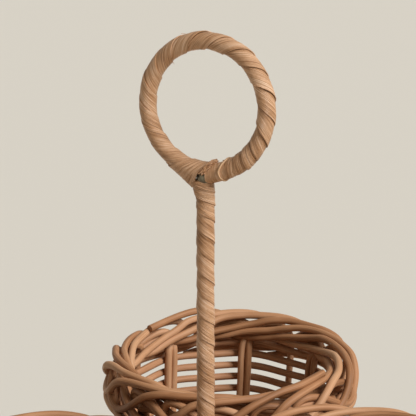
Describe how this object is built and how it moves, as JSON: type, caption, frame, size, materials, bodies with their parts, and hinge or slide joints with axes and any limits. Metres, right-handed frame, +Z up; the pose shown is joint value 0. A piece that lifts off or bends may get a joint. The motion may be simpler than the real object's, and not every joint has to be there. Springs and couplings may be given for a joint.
{
  "type": "cutlery caddy",
  "caption": "Rattan cutlery caddy: round woven cups tied round a peel-wrapped stem that ends in a carrying ring.",
  "frame": {"origin": "on the table, under the middle of the caddy's outline", "axes": "+Z up along the stem, +Y towards the single cup at the back, the pair of cups on the -Y side"},
  "size_m": [0.22, 0.2054, 0.2692],
  "materials": {
    "cane": "round rattan core, dry",
    "weaver": "round rattan core, dry",
    "peel": "split rattan peel, satin",
    "tie": "thin rattan binding cane, dry",
    "rod": "bare drawn steel, dulled"
  },
  "bodies": {
    "root": {"back_cup_spoke_1": "cane", "back_cup_spoke_2": "cane", "back_cup_spoke_3": "cane", "back_cup_spoke_4": "cane", "back_cup_spoke_5": "cane", "back_cup_spoke_6": "cane", "back_cup_spoke_7": "cane", "back_cup_spoke_8": "cane", "back_cup_wall_weaver_1": "weaver", "back_cup_wall_weaver_2": "weaver", "back_cup_base_weaver": "weaver", "back_cup_foot_hoop": "cane", "left_cup_spoke_1": "cane", "left_cup_spoke_2": "cane", "left_cup_spoke_3": "cane", "left_cup_spoke_4": "cane", "left_cup_spoke_5": "cane", "left_cup_spoke_6": "cane", "left_cup_spoke_7": "cane", "left_cup_spoke_8": "cane", "left_cup_wall_weaver_1": "weaver", "left_cup_wall_weaver_2": "weaver", "left_cup_base_weaver": "weaver", "left_cup_foot_hoop": "cane", "right_cup_spoke_1": "cane", "right_cup_spoke_2": "cane", "right_cup_spoke_3": "cane", "right_cup_spoke_4": "cane", "right_cup_spoke_5": "cane", "right_cup_spoke_6": "cane", "right_cup_spoke_7": "cane", "right_cup_spoke_8": "cane", "right_cup_wall_weaver_1": "weaver", "right_cup_wall_weaver_2": "weaver", "right_cup_base_weaver": "weaver", "right_cup_foot_hoop": "cane", "stem_rod": "rod", "ring_rod": "rod", "stem_peel_a": "peel", "stem_peel_b": "peel", "ring_peel_a": "peel", "ring_peel_b": "peel", "joint_flap": "peel", "joint_collar": "peel", "joint_binding": "tie", "back_stem_tie_low": "tie", "back_stem_tie_high": "tie", "left_stem_tie_low": "tie", "left_stem_tie_high": "tie", "right_stem_tie_low": "tie", "right_stem_tie_high": "tie", "back_left_cup_tie_low": "tie", "back_left_cup_tie_high": "tie", "left_right_cup_tie_low": "tie", "left_right_cup_tie_high": "tie", "right_back_cup_tie_low": "tie", "right_back_cup_tie_high": "tie"}
  },
  "joints": []
}
